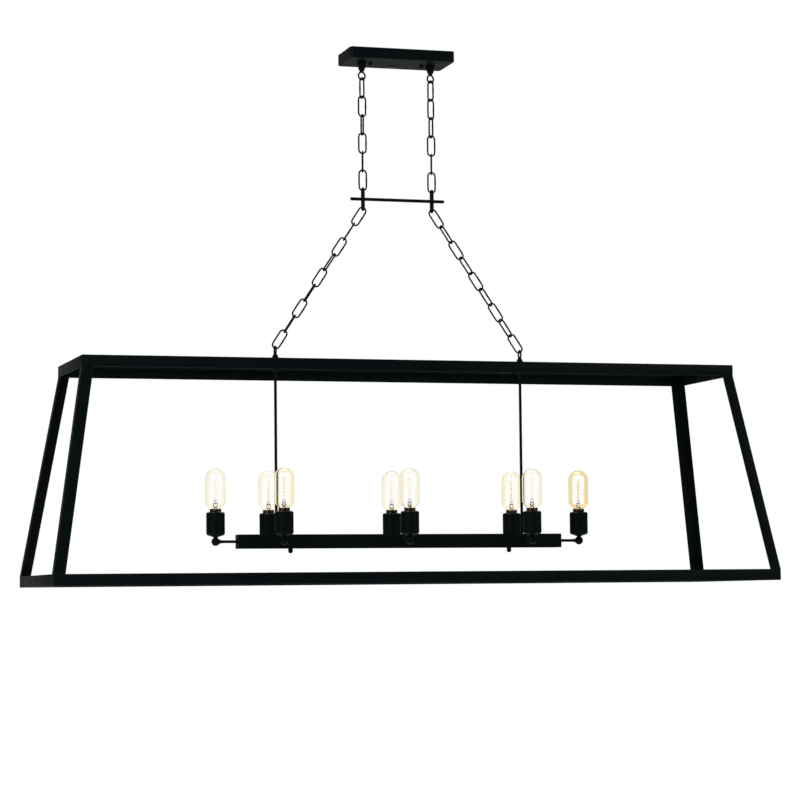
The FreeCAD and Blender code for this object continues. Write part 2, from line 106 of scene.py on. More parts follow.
def bevelAlong(obj, axis, width, steps, where=lambda middle: True):  # the edges that run along axis
    bevelPicked(obj, "EDGE", lambda middle, way: abs(way.dot(axis)) > alongLimit and where(middle),
                width, steps)


def applyPlace(obj):
    choose(obj)
    bpy.ops.object.transform_apply(location=True, rotation=True, scale=True)


def applyModifier(obj, kind, **values):
    choose(obj)
    modifier = obj.modifiers.new(kind.lower(), kind)
    for key, value in values.items():
        setattr(modifier, key, value)
    bpy.ops.object.modifier_apply(modifier=modifier.name)


def combine(obj, tool, operation="DIFFERENCE"):
    applyModifier(obj, "BOOLEAN", operation=operation, object=tool, solver="EXACT")
    removePiece(tool)


def cleanMesh(obj, inward=False):  # merge doubles, then turn every face outwards, or inwards
    startEdit(obj)
    bpy.ops.mesh.select_all(action="SELECT")
    bpy.ops.mesh.remove_doubles(threshold=0.002 * mm)
    bpy.ops.mesh.normals_make_consistent(inside=inward)
    endEdit()


def addCube(low, high):
    low, high = Vector(low), Vector(high)
    bpy.ops.mesh.primitive_cube_add(size=1, location=(low + high) / 2)
    cube = bpy.context.object
    cube.scale = high - low
    applyPlace(cube)
    return cube


def addCylinder(radius, height, centre, sides):
    bpy.ops.mesh.primitive_cylinder_add(vertices=sides, radius=radius, depth=height, location=centre)
    applyPlace(bpy.context.object)
    return bpy.context.object


def turnedPiece(profile, steps=48):  # a profile of (radius, height) pairs, spun about Z
    bpy.ops.mesh.primitive_plane_add(size=mm)
    obj = bpy.context.object
    startEdit(obj)
    bpy.ops.mesh.select_mode(type="VERT")
    bpy.ops.mesh.select_all(action="SELECT")
    bpy.ops.mesh.merge(type="CENTER")
    here = Vector((profile[0][0], 0, profile[0][1]))
    bpy.ops.transform.translate(value=here)
    for radius, height in profile[1:]:
        there = Vector((radius, 0, height))
        bpy.ops.mesh.extrude_vertices_move(TRANSFORM_OT_translate={"value": there - here})
        here = there
    bpy.ops.mesh.select_all(action="SELECT")
    bpy.ops.mesh.spin(steps=steps, angle=2 * math.pi, center=(0, 0, 0), axis=zAxis)
    endEdit()
    cleanMesh(obj)
    return obj


def arc(centre, radius, start, end, count):  # profile points along an arc, angles in degrees
    angles = [math.radians(start + (end - start) * k / count) for k in range(count + 1)]
    return [(centre[0] + radius * math.cos(angle), centre[1] + radius * math.sin(angle)) for angle in angles]


def bowed(start, end, bulge, count):  # profile points from start to end that bow out by bulge
    shares = [k / count for k in range(count + 1)]
    return [(start[0] + (end[0] - start[0]) * share + bulge * math.sin(math.pi * share),
             start[1] + (end[1] - start[1]) * share) for share in shares]


def wallRows(radius, low, high, step):  # profile points up a straight wall, close enough for a thread
    count = max(1, round((high - low) / step))
    return [(radius, low + (high - low) * k / count) for k in range(count + 1)]


def ringThread(first, second, low, pitch, turns):  # profile points that go to and fro between two radii
    rows = []
    for turn in range(turns):
        rows += [(first, low + turn * pitch), (second, low + (turn + 0.5) * pitch)]
    return rows


def near(radius, height, *steps):  # profile points as steps in millimetres from one point
    return [(radius + x * mm, height + z * mm) for x, z in steps]


def rodRows(radius, low, high, edge):  # profile of a rod with both ends chamfered
    return [(0, low), (radius - edge, low), (radius, low + edge),
            (radius, high - edge), (radius - edge, high), (0, high)]


def copyPiece(source):
    choose(source)
    bpy.ops.object.duplicate(linked=False)
    return bpy.context.object


def putPiece(obj, centre, turnZ=0.0, leanY=0.0):  # turn about Z, lean about Y, then move
    obj.matrix_world = (Matrix.Translation(Vector(centre)) @ Matrix.Rotation(leanY, 4, "Y")
                        @ Matrix.Rotation(turnZ, 4, "Z"))
    applyPlace(obj)
    return obj


def aimPiece(obj, centre, direction):  # stand the piece's Z along direction
    turn = zAxis.rotation_difference(Vector(direction))
    obj.matrix_world = Matrix.Translation(Vector(centre)) @ turn.to_matrix().to_4x4()
    applyPlace(obj)
    return obj


def joinPieces(pieces):
    choose(*pieces)
    bpy.ops.object.join()
    return bpy.context.object


def removePiece(obj):
    bpy.data.objects.remove(obj, do_unlink=True)


def putCopies(source, places, turnZ=0.0):  # a copy at each place, without the source
    pieces = [putPiece(copyPiece(source), place, turnZ) for place in places]
    removePiece(source)
    return pieces


def finishPiece(obj, name, body, material, replaced=(), degrees=35):
    obj.name = name
    obj.data.name = name
    applyPlace(obj)
    bpy.ops.object.shade_smooth_by_angle(angle=math.radians(degrees))
    obj.data.materials.clear()
    obj.data.materials.append(material)
    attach(obj, body)
    if replaced:
        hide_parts(*replaced)


def camel(name):
    words = name.split("_")
    return words[0] + "".join(word.capitalize() for word in words[1:])


# shader helpers

def feed(tree, node, values):  # each value is a constant, or a socket to link
    for key, value in values.items():
        if isinstance(value, bpy.types.NodeSocket):
            tree.links.new(value, node.inputs[key])
        else:
            node.inputs[key].default_value = value
    return node


def addNode(tree, kind, values=None, **settings):
    node = tree.nodes.new("ShaderNode" + kind)
    for key, value in settings.items():
        setattr(node, key, value)
    return feed(tree, node, values or {})


def newGroup(name, inputs, outputs):
    tree = bpy.data.node_groups.new(name, "ShaderNodeTree")
    for titles, way in ((inputs, "INPUT"), (outputs, "OUTPUT")):
        for title in titles:
            kind = "NodeSocketColor" if title.endswith("Color") else "NodeSocketFloat"
            tree.interface.new_socket(name=title, in_out=way, socket_type=kind)
    return tree, tree.nodes.new("NodeGroupInput").outputs, tree.nodes.new("NodeGroupOutput")


def objectPlace(tree):
    return addNode(tree, "TexCoord").outputs["Object"]


def noise(tree, place, scale, detail=2.0, rough=0.5):
    return addNode(tree, "TexNoise", {"Vector": place, "Scale": scale, "Detail": detail,
                                      "Roughness": rough}).outputs["Fac"]


def ramp(tree, value, low, high, lowOut=0.0, highOut=1.0):
    return addNode(tree, "MapRange", {"Value": value, "From Min": low, "From Max": high,
                                      "To Min": lowOut, "To Max": highOut}).outputs["Result"]


def mixColors(tree, factor, first, second):
    return addNode(tree, "Mix", {"Factor": factor, 6: first, 7: second}, data_type="RGBA").outputs[2]


def calc(tree, operation, first, second):
    return addNode(tree, "Math", {0: first, 1: second}, operation=operation).outputs[0]


def buildPaintGroup():  # powder paint: fine pebbled grain, slow drift of colour and gloss
    group, given, result = newGroup("powderPaint", ("Color", "Drift Color", "Grain Scale", "Roughness"),
                                    ("Color", "Roughness", "Height"))
    place = objectPlace(group)
    drift = ramp(group, noise(group, place, 9.0, 3.0), 0.35, 0.7)
    gloss = ramp(group, noise(group, place, 26.0, 4.0, 0.6), 0.3, 0.75, -0.06, 0.08)
    feed(group, result, {
        "Color": mixColors(group, drift, given["Color"], given["Drift Color"]),
        "Roughness": calc(group, "ADD", given["Roughness"], gloss),
        "Height": noise(group, place, given["Grain Scale"], 3.0)})
    return group


def buildDustGroup():  # faint dust that settles on what faces up
    group, given, result = newGroup("restingDust", ("Color", "Dust Color", "Amount"), ("Color", "Mask"))
    normal = addNode(group, "NewGeometry").outputs["Normal"]
    upward = ramp(group, addNode(group, "SeparateXYZ", {"Vector": normal}).outputs["Z"], 0.55, 1.0)
    patchy = ramp(group, noise(group, objectPlace(group), 60.0, 5.0, 0.65), 0.38, 0.72)
    mask = calc(group, "MULTIPLY", calc(group, "MULTIPLY", upward, patchy), given["Amount"])
    feed(group, result, {"Color": mixColors(group, mask, given["Color"], given["Dust Color"]), "Mask": mask})
    return group


def buildMetalGroup():  # bare metal: fine drawing lines along Z, dull patches
    group, given, result = newGroup("drawnMetal", ("Color", "Tarnish Color", "Line Scale", "Roughness"),
                                    ("Color", "Roughness", "Height"))
    place = objectPlace(group)
    stretched = addNode(group, "Mapping", {"Vector": place, "Scale": (1, 1, 0.08)}).outputs["Vector"]
    patches = ramp(group, noise(group, place, 110.0, 4.0, 0.6), 0.42, 0.7)
    dulled = calc(group, "MULTIPLY", patches, 0.18)
    feed(group, result, {
        "Color": mixColors(group, patches, given["Color"], given["Tarnish Color"]),
        "Roughness": calc(group, "ADD", given["Roughness"], dulled),
        "Height": noise(group, stretched, given["Line Scale"])})
    return group


def buildMottleGroup():  # two mottled colours, as if lit through
    group, given, result = newGroup("litMottle", ("Color", "Second Color", "Scale", "Detail", "Low", "High"),
                                    ("Color", "Height"))
    mottle = noise(group, objectPlace(group), given["Scale"], given["Detail"])
    share = ramp(group, mottle, given["Low"], given["High"])
    feed(group, result, {"Color": mixColors(group, share, given["Color"], given["Second Color"]),
                         "Height": mottle})
    return group


def buildGlassGroup():  # blown glass: slow ripples and faint smudges
    group, given, result = newGroup("blownGlass", ("Smudge", "Ripple Scale"), ("Roughness", "Height"))
    place = objectPlace(group)
    feed(group, result, {
        "Roughness": ramp(group, noise(group, place, 45.0, 4.0), 0.55, 0.8, 0.0, given["Smudge"]),
        "Height": noise(group, place, given["Ripple Scale"], 1.0)})
    return group


paintGroup = buildPaintGroup()
dustGroup = buildDustGroup()
metalGroup = buildMetalGroup()
mottleGroup = buildMottleGroup()
glassGroup = buildGlassGroup()


def placeGroup(tree, group, values):
    return addNode(tree, "Group", values, node_tree=group).outputs


def newMaterial(name):
    material = bpy.data.materials.new(name)
    material.use_nodes = True
    tree = material.node_tree
    return material, tree, tree.nodes["Principled BSDF"]


def addBump(tree, shader, height, strength, depth):
    bump = addNode(tree, "Bump", {"Height": height, "Strength": strength, "Distance": depth})
    feed(tree, shader, {"Normal": bump.outputs["Normal"]})


def paintMaterial(name, paintValues, dustValues, specular, grain, grainDepth):
    material, tree, shader = newMaterial(name)
    paint = placeGroup(tree, paintGroup, paintValues)
    dust = placeGroup(tree, dustGroup, {"Color": paint["Color"], **dustValues})
    feed(tree, shader, {"Base Color": dust["Color"], "Specular IOR Level": specular,
                        "Roughness": calc(tree, "ADD", paint["Roughness"], dust["Mask"])})
    addBump(tree, shader, paint["Height"], grain, grainDepth)
    return material


def metalMaterial(name, metalValues, lines, lineDepth):
    material, tree, shader = newMaterial(name)
    metal = placeGroup(tree, metalGroup, metalValues)
    feed(tree, shader, {"Base Color": metal["Color"], "Roughness": metal["Roughness"], "Metallic": 1.0})
    addBump(tree, shader, metal["Height"], lines, lineDepth)
    return material


steelDust = {"Dust Color": (0.20, 0.19, 0.17, 1), "Amount": 0.02}
blackPaint = paintMaterial("blackPowderPaint", {
    "Color": (0.0005, 0.0024, 0.0026, 1), "Drift Color": (0.0009, 0.0028, 0.0031, 1),
    "Grain Scale": 850.0, "Roughness": 0.46}, steelDust, 0.04, 0.25, 0.06 * mm)
blackChainPaint = paintMaterial("blackChainPaint", {
    "Color": (0.0008, 0.0018, 0.0024, 1), "Drift Color": (0.0020, 0.0026, 0.0032, 1),
    "Grain Scale": 1400.0, "Roughness": 0.40}, steelDust, 0.04, 0.2, 0.04 * mm)
phenolic = paintMaterial("blackPhenolic", {
    "Color": (0.007, 0.006, 0.0055, 1), "Drift Color": (0.011, 0.009, 0.008, 1),
    "Grain Scale": 2600.0, "Roughness": 0.26},
    {"Dust Color": (0.22, 0.20, 0.18, 1), "Amount": 0.06}, 0.45, 0.1, 0.03 * mm)
blackNylon = paintMaterial("blackNylon", {
    "Color": (0.010, 0.010, 0.011, 1), "Drift Color": (0.016, 0.016, 0.017, 1),
    "Grain Scale": 1800.0, "Roughness": 0.42},
    {"Dust Color": (0.22, 0.20, 0.18, 1), "Amount": 0.05}, 0.4, 0.2, 0.05 * mm)
zincPlate = metalMaterial("zincPlate", {
    "Color": (0.62, 0.63, 0.65, 1), "Tarnish Color": (0.42, 0.43, 0.46, 1),
    "Line Scale": 900.0, "Roughness": 0.3}, 0.15, 0.04 * mm)
# brass colour kept near black: painted shade for the dark surroundings that the bulb caps and shells mirror
brassWithPaintedShade = metalMaterial("lampBrass", {
    "Color": (0.055, 0.030, 0.016, 1), "Tarnish Color": (0.016, 0.010, 0.007, 1),
    "Line Scale": 1600.0, "Roughness": 0.18}, 0.08, 0.03 * mm)
nickelWire = metalMaterial("nickelWire", {
    "Color": (0.06, 0.042, 0.03, 1), "Tarnish Color": (0.03, 0.02, 0.014, 1),
    "Line Scale": 2500.0, "Roughness": 0.28}, 0.05, 0.02 * mm)
solder = metalMaterial("solderTip", {
    "Color": (0.60, 0.60, 0.58, 1), "Tarnish Color": (0.38, 0.37, 0.35, 1),
    "Line Scale": 1500.0, "Roughness": 0.38}, 0.2, 0.05 * mm)


def finishPainted(pieces, node, body="frame", material=blackPaint, name=None, degrees=35):
    finishPiece(joinPieces(pieces), name or camel(node), body, material, [node], degrees)


def glassMaterial(name, look):
    material, tree, shader = newMaterial(name)
    # colour follows how squarely the glass faces the view: toward the silhouette it turns to the side colour,
    # amber on the bulbs standing in for light that crosses more tinted glass and painted shade on the mount;
    # at the very rim the tint fades again as a painted reflection of the pale surroundings
    facing = addNode(tree, "LayerWeight", {"Blend": 0.5}).outputs["Facing"]
    side = calc(tree, "MULTIPLY", ramp(tree, facing, look["tintStart"], look["tintEnd"]),
                ramp(tree, facing, look["paintedRimStart"], look["rimEnd"], 1.0, look["tintLeftAtPaintedRim"]))
    marks = placeGroup(tree, glassGroup, {"Smudge": look["smudge"], "Ripple Scale": look["rippleScale"]})
    feed(tree, shader, {
        "Base Color": mixColors(tree, side, look["middleColor"], look["sideColor"]),
        "Roughness": marks["Roughness"], "Transmission Weight": 1.0, "IOR": look["ior"]})
    addBump(tree, shader, marks["Height"], look["ripple"], 0.4 * mm)
    absorb = addNode(tree, "VolumeAbsorption", {"Color": look["absorbColor"], "Density": look["density"]})
    feed(tree, tree.nodes["Material Output"], {"Volume": absorb.outputs["Volume"]})
    return material


def mottledMaterial(name, first, second, look):  # its two colours may glow a little as painted light, as on the filament and its core although the bulbs are not lit
    material, tree, shader = newMaterial(name)
    mottle = placeGroup(tree, mottleGroup, {"Color": first, "Second Color": second, **look["mottle"]})
    feed(tree, shader, {"Base Color": mottle["Color"], "Emission Color": mottle["Color"],
                        "Emission Strength": look["glow"], "Roughness": look["roughness"]})
    addBump(tree, shader, mottle["Height"], look["bump"], look["bumpDepth"])
    return material


bulbTints = {  # the amber of the bulbs' sides and filaments differs from bulb to bulb
    "pale": {"side": (1.0, 0.950, 0.78, 1), "wire": (0.80, 0.58, 0.12, 1), "wireLight": (0.95, 0.78, 0.32, 1),
             "core": (0.97, 0.93, 0.80, 1)},
    "amber": {"side": (1.0, 0.915, 0.64, 1), "wire": (0.68, 0.45, 0.04, 1), "wireLight": (0.90, 0.68, 0.16, 1),
              "core": (0.95, 0.86, 0.56, 1)},
    "deep": {"side": (0.930, 0.74, 0.34, 1), "wire": (0.46, 0.32, 0.0, 1), "wireLight": (0.66, 0.50, 0.01, 1),
             "core": (0.90, 0.72, 0.16, 1)},
}
# amber sides stand in for light crossing more glass; the pale rim at grazing angles is a painted reflection
bulbGlassLook = {
    "ior": 1.47, "rippleScale": 30.0, "ripple": 0.03, "smudge": 0.01, "tintStart": 0.12, "tintEnd": 0.28,
    "paintedRimStart": 0.42, "rimEnd": 0.68, "tintLeftAtPaintedRim": 0.25, "middleColor": (1, 1, 0.995, 1),
    "absorbColor": (0.96, 0.80, 0.30, 1), "density": 3.0,
}
# filament and core glow a little: painted light that keeps them bright and yellow in shade
filamentShade = {"mottle": {"Scale": 900.0, "Detail": 2.0, "Low": 0.35, "High": 0.65},
                 "glow": 0.10, "roughness": 0.5, "bump": 0.2, "bumpDepth": 0.03 * mm}
coreShade = {"mottle": {"Scale": 500.0, "Detail": 3.0, "Low": 0.0, "High": 1.0},
             "glow": 0.35, "roughness": 0.35, "bump": 0.2, "bumpDepth": 0.03 * mm}
bulbGlasses, filaments, cores = {}, {}, {}
for tintName, tint in bulbTints.items():
    bulbGlasses[tintName] = glassMaterial(tintName + "BulbGlass",
                                          {**bulbGlassLook, "sideColor": tint["side"]})
    filaments[tintName] = mottledMaterial(tintName + "Filament", tint["wire"], tint["wireLight"],
                                          filamentShade)
    cores[tintName] = mottledMaterial(tintName + "Core", tint["core"], (0.97, 0.95, 0.88, 1), coreShade)
# the grey-brown toward the mount's sides is painted shade
stemGlass = glassMaterial("stemGlass", {
    "ior": 1.52, "rippleScale": 160.0, "ripple": 0.25, "smudge": 0.08, "tintStart": 0.2, "tintEnd": 0.8,
    "paintedRimStart": 0.9, "rimEnd": 1.0, "tintLeftAtPaintedRim": 1.0,
    "middleColor": (0.90, 0.87, 0.84, 1), "sideColor": (0.50, 0.42, 0.36, 1),
    "absorbColor": (0.6, 0.5, 0.4, 1), "density": 60.0})
capGlass = mottledMaterial("capGlass", (0.008, 0.006, 0.012, 1), (0.03, 0.02, 0.03, 1), {
    "mottle": {"Scale": 350.0, "Detail": 3.0, "Low": 0.0, "High": 1.0}, "glow": 0.0, "roughness": 0.12,
    "bump": 0.15, "bumpDepth": 0.05 * mm})
print("materials made:", len(bpy.data.materials))


# open frame of steel angle

angleLook = {
    "wall": 3.0 * mm,
    "edge": (0.7 * mm, 3), "root": (2.6 * mm, 5),    # bevel and steps of the edges, fillet between the legs
    "seam": (0.35 * mm, 2),                          # small groove where pieces are welded
}
stemLook = {
    **lengths(radius=3.25, chamfer=0.4, threadDepth=0.25, threadPitch=1.0),
    "threadTurns": 6,      # cut thread that shows at each end inside the nuts
}
topLow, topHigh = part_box("top_long_rails")
bottomLow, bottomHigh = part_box("bottom_long_rails")
leg = topHigh.z - topLow.z
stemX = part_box("stems")[1].x - stemLook["radius"]


def angleBar(low, high, heel):  # a bar along the axis where heel is 0, its legs meeting on heel's side
    bar = addCube(low, high)
    roomLow, roomHigh = Vector(low), Vector(high)
    for axis in range(3):
        roomLow[axis] += angleLook["wall"] if heel[axis] < 0 else -leg
        roomHigh[axis] -= angleLook["wall"] if heel[axis] > 0 else -leg
    combine(bar, addCube(roomLow, roomHigh))
    return bar


def easeAngle(bar, root, along, isEnd):  # soften the edges, fillet the root, then ease the two ends
    def atRoot(middle):
        return (middle - root).cross(along).length < 2 * nearby

    bevelAlong(bar, along, *angleLook["edge"], lambda middle: not atRoot(middle))
    bevelAlong(bar, along, *angleLook["root"], atRoot)
    bevelPicked(bar, "FACE", isEnd, *angleLook["seam"])


def mitredRail(low, high, heel):  # the further a point is from the outer side, the further its end is cut
    rail = angleBar(low, high, heel)
    wall = angleLook["wall"]
    run = 0 if heel[0] == 0 else 1
    side = 1 - run
    along = (xAxis, yAxis)[run]
    outer = (high if heel[side] > 0 else low)[side]
    for end in (-1, 1):
        for depth in (wall, leg):
            moveVerts(rail, lambda co: co[run] * end > 0 and abs(abs(co[side] - outer) - depth) < nearby,
                      -along * end * depth)
    root = Vector((0, 0, (high if heel[2] > 0 else low)[2] - heel[2] * wall))
    root[side] = outer - heel[side] * wall
    easeAngle(rail, root, along, lambda centre, normal: abs(normal.dot(along)) > mitreLimit)
    return rail


def buildRails(level, low, high, up):
    longRails = [mitredRail(low, Vector((high.x, low.y + leg, high.z)), (0, -1, up)),
                 mitredRail(Vector((low.x, high.y - leg, low.z)), high, (0, 1, up))]
    endRails = [mitredRail(low, Vector((low.x + leg, high.y, high.z)), (-1, 0, up)),
                mitredRail(Vector((high.x - leg, low.y, low.z)), high, (1, 0, up))]
    finishPainted(longRails, level + "_long_rails")
    finishPainted(endRails, level + "_end_rails")


def buildPosts():
    postLow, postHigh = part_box("corner_posts")
    posts = []
    for sideX in (-1, 1):
        for sideY in (-1, 1):
            side = Vector((sideX, sideY, 0))
            foot = Vector((sideX * bottomHigh.x, sideY * bottomHigh.y, postLow.z))
            head = Vector((sideX * topHigh.x, sideY * topHigh.y, postHigh.z))
            inner = foot - side * leg
            inner.z = head.z
            post = angleBar(Vector(map(min, foot, inner)), Vector(map(max, foot, inner)), side)
            moveVerts(post, lambda co: co.z > (foot.z + head.z) / 2, (head.x - foot.x, head.y - foot.y, 0))
            easeAngle(post, foot - side * angleLook["wall"], (head - foot).normalized(),
                      lambda centre, normal: abs(normal.z) > facingLimit)
            posts.append(post)
    finishPainted(posts, "corner_posts")


def buildCrossbars():
    low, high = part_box("crossbars")
    half = high.x - stemX
    bars = []
    for middle in (-stemX, stemX):
        bar = addCube((middle - half, low.y, high.z - angleLook["wall"]), (middle + half, high.y, high.z))
        bevelAlong(bar, yAxis, *angleLook["edge"])
        bars.append(bar)
    finishPainted(bars, "crossbars", name="crossBars")


def buildStems():
    look = stemLook
    low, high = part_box("stems")
    radius, edge, pitch, turns = look["radius"], look["chamfer"], look["threadPitch"], look["threadTurns"]
    root = radius - look["threadDepth"]
    upper = high.z - edge - turns * pitch
    profile = [(0, low.z), (radius - edge, low.z), (radius, low.z + edge)]
    profile += ringThread(root, radius, low.z + edge + pitch / 2, pitch, turns)
    profile += [(radius, upper)] + ringThread(root, radius, upper + pitch / 2, pitch, turns)
    profile += [(radius - edge, high.z), (0, high.z)]
    stems = putCopies(turnedPiece(profile, 32), [(x, 0, 0) for x in (low.x + radius, high.x - radius)])
    finishPainted(stems, "stems", name="hollowStems")


buildRails("top", topLow, topHigh, 1)
buildRails("bottom", bottomLow, bottomHigh, -1)
buildPosts()
buildCrossbars()
buildStems()
print("open frame made")


# light bar

barLook = {"wall": 1.5 * mm, "edge": (1.2 * mm, 3), "capRim": (1.12 * mm, 4), "seam": (0.25 * mm, 1)}
capLow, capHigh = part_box("bar_end_caps")
barZ = (capLow.z + capHigh.z) / 2
barHalf = (capHigh.z - capLow.z) / 2


def buildLightBar():
    wall = barLook["wall"]
    low = Vector((capLow.x + wall, capLow.y, capLow.z))
    high = Vector((capHigh.x - wall, capHigh.y, capHigh.z))
    channel = addCube(low, high)
    bevelAlong(channel, xAxis, *barLook["edge"], lambda middle: middle.z > barZ)

    def hollow():
        bpy.ops.mesh.inset(thickness=wall, use_boundary=True)
        bpy.ops.mesh.extrude_region_move(TRANSFORM_OT_translate={"value": (0, 0, high.z - low.z - 2 * wall)})

    editPicked(channel, "FACE", lambda centre, normal: normal.z < -facingLimit, hollow)
    cleanMesh(channel)
    finishPainted([channel], "light_bar")
    caps = []
    for start, end, face in ((capLow.x, low.x, capLow.x), (high.x, capHigh.x, capHigh.x)):
        cap = addCube((start, capLow.y, capLow.z), (end, capHigh.y, capHigh.z))
        bevelPicked(cap, "EDGE", lambda middle, way: abs(middle.x - face) < nearby, *barLook["capRim"])
        bevelAlong(cap, xAxis, *barLook["seam"])
        caps.append(cap)
    finishPainted(caps, "bar_end_caps")


domeLook = {**lengths(rim=0.5, groove=0.3, coverDome=3.7), "grooveStart": 0.42, "grooveEnd": 0.62}


def domedNut(radius, height, dome, steps=40):  # a round cap nut that hangs below z = 0
    skirt = height - dome
    sphere = (radius ** 2 + dome ** 2) / (2 * dome)
    reach = math.degrees(math.asin(min(1.0, radius / sphere)))
    rim, groove = domeLook["rim"], domeLook["groove"]
    start, end = -domeLook["grooveStart"] * skirt, -domeLook["grooveEnd"] * skirt
    profile = [(0, 0), (radius - rim, 0), (radius, -rim), (radius, start), (radius - groove, start - groove),
               (radius - groove, end), (radius, end - groove)]
    return turnedPiece(profile + arc((0, -height + sphere), sphere, reach - 90, -90, 8), steps)


def buildCoverNuts():
    low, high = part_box("cover_nuts")
    radius = (high.y - low.y) / 2
    nut = domedNut(radius, high.z - low.z, domeLook["coverDome"])
    finishPainted(putCopies(nut, [(x, 0, high.z) for x in (low.x + radius, high.x - radius)]), "cover_nuts")


hexLook = {"chamfer": 0.6 * mm, "sharp": 25}    # degrees of the edges that stay sharp
couplingLook = lengths(flats=14.0, height=14.0, nutFlats=11.0, nutHeight=3.5)


def hexNut(flats, height, holeRadius):  # stands on z = 0
    nut = addCylinder(flats / math.sqrt(3), height, (0, 0, height / 2), 6)
    bevelPicked(nut, "FACE", lambda centre, normal: abs(normal.z) > facingLimit, hexLook["chamfer"], 2)
    combine(nut, addCylinder(holeRadius, 3 * height, (0, 0, height / 2), 32))
    return nut


def buildCouplings():  # under the crossbars, with the stems' lock nuts inside the bar
    look = couplingLook
    couplingZ = topHigh.z - angleLook["wall"] - look["height"]
    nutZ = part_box("frame_nuts")[0].z
    coupling = hexNut(look["flats"], look["height"], stemLook["radius"])
    nut = hexNut(look["nutFlats"], look["nutHeight"], stemLook["radius"])
    finishPainted(putCopies(coupling, [(x, 0, couplingZ) for x in (-stemX, stemX)]), "frame_nuts",
                  name="frameCouplings", degrees=hexLook["sharp"])
    nuts = joinPieces(putCopies(nut, [(x, 0, nutZ) for x in (-stemX, stemX)]))
    finishPiece(nuts, "stemLockNuts", "frame", zincPlate, [], hexLook["sharp"])


lampNames = ["end_left", "end_right", "left_front", "left_rear", "centre_front", "centre_rear",
             "right_front", "right_rear"]


lamps = []  # name, ball centre and outward direction of the arm
for lampName in lampNames:
    cupLow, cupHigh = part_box("socket_cup_" + lampName)
    ballCentre = Vector(((cupLow.x + cupHigh.x) / 2, (cupLow.y + cupHigh.y) / 2, barZ))
    axis = xAxis if lampName.startswith("end") else yAxis
    lamps.append((lampName, ballCentre, axis * math.copysign(1, ballCentre.dot(axis))))

armLook = lengths(radius=3.25, edge=0.4, nutFlats=10.0, nutHeight=2.5, inside=8.0, stop=1.5)
ballLook = {
    **lengths(radius=9.5, bossRadius=4.9, bossLength=6.5, bossLip=0.5, bossWaist=0.45, waistIn=0.2,
              waistRise=0.9, seam=0.25),
    "seamHalf": 3,          # half the seam's opening, in degrees
}


def ballProfile():  # the ball about its centre, its boss up along +Z
    look = ballLook
    radius, boss, gap = look["radius"], look["bossRadius"], look["seamHalf"]
    foot = math.sqrt(radius ** 2 - boss ** 2)
    reach = math.degrees(math.atan2(foot, boss))
    end = foot + look["bossLength"]
    lip = armLook["radius"] + look["bossLip"]
    waist = (boss - look["waistIn"], foot + look["waistRise"])
    profile = arc((0, 0), radius, -90, -gap, 14) + [(radius - look["seam"], 0)]
    profile += arc((0, 0), radius, gap, reach - 6, 8)
    profile += bowed(waist, (lip + look["waistIn"], end - 0.4 * mm), -look["bossWaist"], 6)
    return profile + [(lip, end), (0, end)]


def buildArms():
    look = armLook
    radius, edge = look["radius"], look["edge"]
    arms, nuts, balls = [], [], []
    nut = hexNut(look["nutFlats"], look["nutHeight"], radius)
    ball = turnedPiece(ballProfile())
    for name, centre, out in lamps:
        reach = (centre - Vector((centre.x if out.y else 0, 0, barZ))).length
        outside = capHigh.x if out.x else barHalf
        inside = outside - barLook["wall"]
        foot, start, end = centre - out * reach, inside - look["inside"], reach - look["stop"]
        arm = turnedPiece([(0, start), (radius - edge, start), (radius, start + edge),
                           (radius, end), (0, end)], 32)
        arms.append(aimPiece(arm, foot, out))
        nuts.append(aimPiece(copyPiece(nut), foot + out * outside, out))
        nuts.append(aimPiece(copyPiece(nut), foot + out * inside, -out))
        balls.append(aimPiece(copyPiece(ball), centre, -out))
    removePiece(nut)
    removePiece(ball)
    finishPainted(arms, "lamp_arms")
    finishPainted(nuts, "arm_nuts", degrees=hexLook["sharp"])
    finishPainted(balls, "lamp_balls")


buildLightBar()
buildCoverNuts()
buildCouplings()
buildArms()
print("light bar made")


# lamps: cup, holder, bulb

cupLook = lengths(  # heights are above the ball's centre
    radius=21.0, wall=1.2, top=64.6, bottom=10.4, slope=3.4, bottomRound=5.5, neckRadius=5.0, neckFoot=8.6,
    neckRound=1.6, bore=3.0, rimRound=0.9)
holderLook = lengths(
    height=41.0, proud=1.4, edge=1.0, footEdge=3.0, gap=0.3,    # its face stands proud of the cup's rim
    shellRadius=13.5, shellWall=0.5, shellBelowFace=1.0, pitch=3.6, contactRadius=4.0, contactDrop=4.2)
bulbLook = {
    **lengths(capRadius=13.1, capLength=30.0, capAboveHolder=7.4, capFoot=3.5, threadDepth=1.0,
              tipRadius=4.5, tipHeight=2.5, tipRound=2.6, radius=22.5, neckRadius=12.4, height=90.0,
              neckDrop=1.2, shoulder=15.0, dome=21.5, wall=0.9),
    "shoulderSteps": 12, "domeSteps": 16,
    "swell": 0.45,         # how early the shoulder swells, 0 for evenly
}
lampSides = 72
lampTints = {"end_left": "pale", "centre_front": "pale", "centre_rear": "pale", "left_rear": "pale",
             "right_front": "pale", "end_right": "deep"}  # the others are amber
holderFace = cupLook["top"] + holderLook["proud"]
capTop = holderFace + bulbLook["capAboveHolder"]
capBottom = capTop - bulbLook["capLength"]
capFoot = capBottom + bulbLook["capFoot"]
contactZ = capBottom - holderLook["contactDrop"]
bulbTop = capTop + bulbLook["height"]


